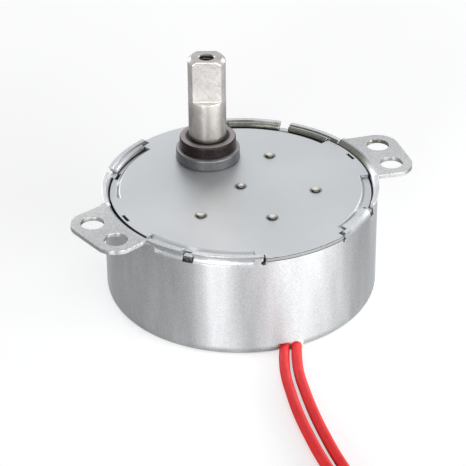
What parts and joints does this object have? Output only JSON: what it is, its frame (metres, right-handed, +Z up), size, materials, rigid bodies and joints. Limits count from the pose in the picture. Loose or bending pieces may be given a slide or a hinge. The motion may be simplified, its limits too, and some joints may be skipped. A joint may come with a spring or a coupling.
{
  "type": "geared synchronous motor",
  "caption": "Small synchronous motor in a drawn steel can with two mounting ears, a spur gear train, an offset output shaft with two flats and a pair of free leads.",
  "frame": {"origin": "centre of the can's underside", "axes": "+Z up along the output shaft, +X along the two mounting ears, +Y from the can's centre towards the output shaft"},
  "size_m": [0.0771, 0.1135, 0.0413],
  "materials": {
    "can": "zinc-plated drawn sheet, satin",
    "cover": "zinc-plated sheet, fine satin",
    "bushing": "dark sintered bronze",
    "inner_plate": "plain sheet",
    "pole_steel": "plain sheet",
    "bobbin": "moulded",
    "copper_wire": "enamelled wire, close wound",
    "tape": "film tape",
    "outlet": "moulded",
    "tinned": "dull tin",
    "pin_steel": "ground",
    "gear_plastic": "moulded acetal",
    "gear_brass": "cut teeth",
    "ferrite": "matte ferrite",
    "shaft": "nickel-plated, fine scratches",
    "lead_red": "soft insulation, slight sheen",
    "tie": "paper-covered band"
  },
  "bodies": {
    "motor": {"housing": "can", "cover_plate": "cover", "output_bushing": "bushing", "gear_plate": "inner_plate", "upper_pole_plate": "pole_steel", "bobbin": "bobbin", "winding": "copper_wire", "coil_tape": "tape", "lead_outlet": "outlet", "terminal_pins": "tinned", "rotor_pin": "pin_steel", "first_gear_pin": "pin_steel", "second_gear_pin": "pin_steel", "third_gear_pin": "pin_steel", "fourth_gear_pin": "pin_steel", "rotor_washer": "gear_plastic", "output_washer": "pin_steel", "lead_left": "lead_red", "lead_right": "lead_red", "lead_left_coil": "lead_red", "lead_right_coil": "lead_red", "lead_left_tip": "tinned", "lead_right_tip": "tinned", "lead_tie": "tie"},
    "output": {"output_shaft": "shaft", "output_gear": "gear_brass"},
    "rotor": {"rotor_hub": "gear_plastic", "rotor_magnet": "ferrite"},
    "first_stage": {"first_gear": "gear_plastic"},
    "second_stage": {"second_gear": "gear_plastic"},
    "third_stage": {"third_gear": "gear_plastic"},
    "fourth_stage": {"fourth_gear": "gear_brass"}
  },
  "joints": [
    {"name": "rotor_spin", "type": "hinge", "parent": "motor", "child": "rotor", "pos_m": [0, 0, 0.01], "axis": [0, 0, 1], "continuous": true},
    {"name": "output_spin", "type": "hinge", "parent": "motor", "child": "output", "pos_m": [0, 0.0129, 0.02], "axis": [0, 0, 1], "continuous": true},
    {"name": "first_gear_spin", "type": "hinge", "parent": "motor", "child": "first_stage", "pos_m": [-0.01111, -0.00573, 0.015], "axis": [0, 0, 1], "continuous": true},
    {"name": "second_gear_spin", "type": "hinge", "parent": "motor", "child": "second_stage", "pos_m": [-0.00028, -0.01247, 0.015], "axis": [0, 0, 1], "continuous": true},
    {"name": "third_gear_spin", "type": "hinge", "parent": "motor", "child": "third_stage", "pos_m": [0.01131, -0.00781, 0.015], "axis": [0, 0, 1], "continuous": true},
    {"name": "fourth_gear_spin", "type": "hinge", "parent": "motor", "child": "fourth_stage", "pos_m": [0.0101, 0.00739, 0.015], "axis": [0, 0, 1], "continuous": true}
  ],
  "couplings": [
    {"joint": "first_gear_spin", "follows": "rotor_spin", "ratio": -0.38889},
    {"joint": "second_gear_spin", "follows": "rotor_spin", "ratio": 0.11966},
    {"joint": "third_gear_spin", "follows": "rotor_spin", "ratio": -0.051282},
    {"joint": "fourth_gear_spin", "follows": "rotor_spin", "ratio": 0.038095},
    {"joint": "output_spin", "follows": "rotor_spin", "ratio": -0.016667}
  ]
}
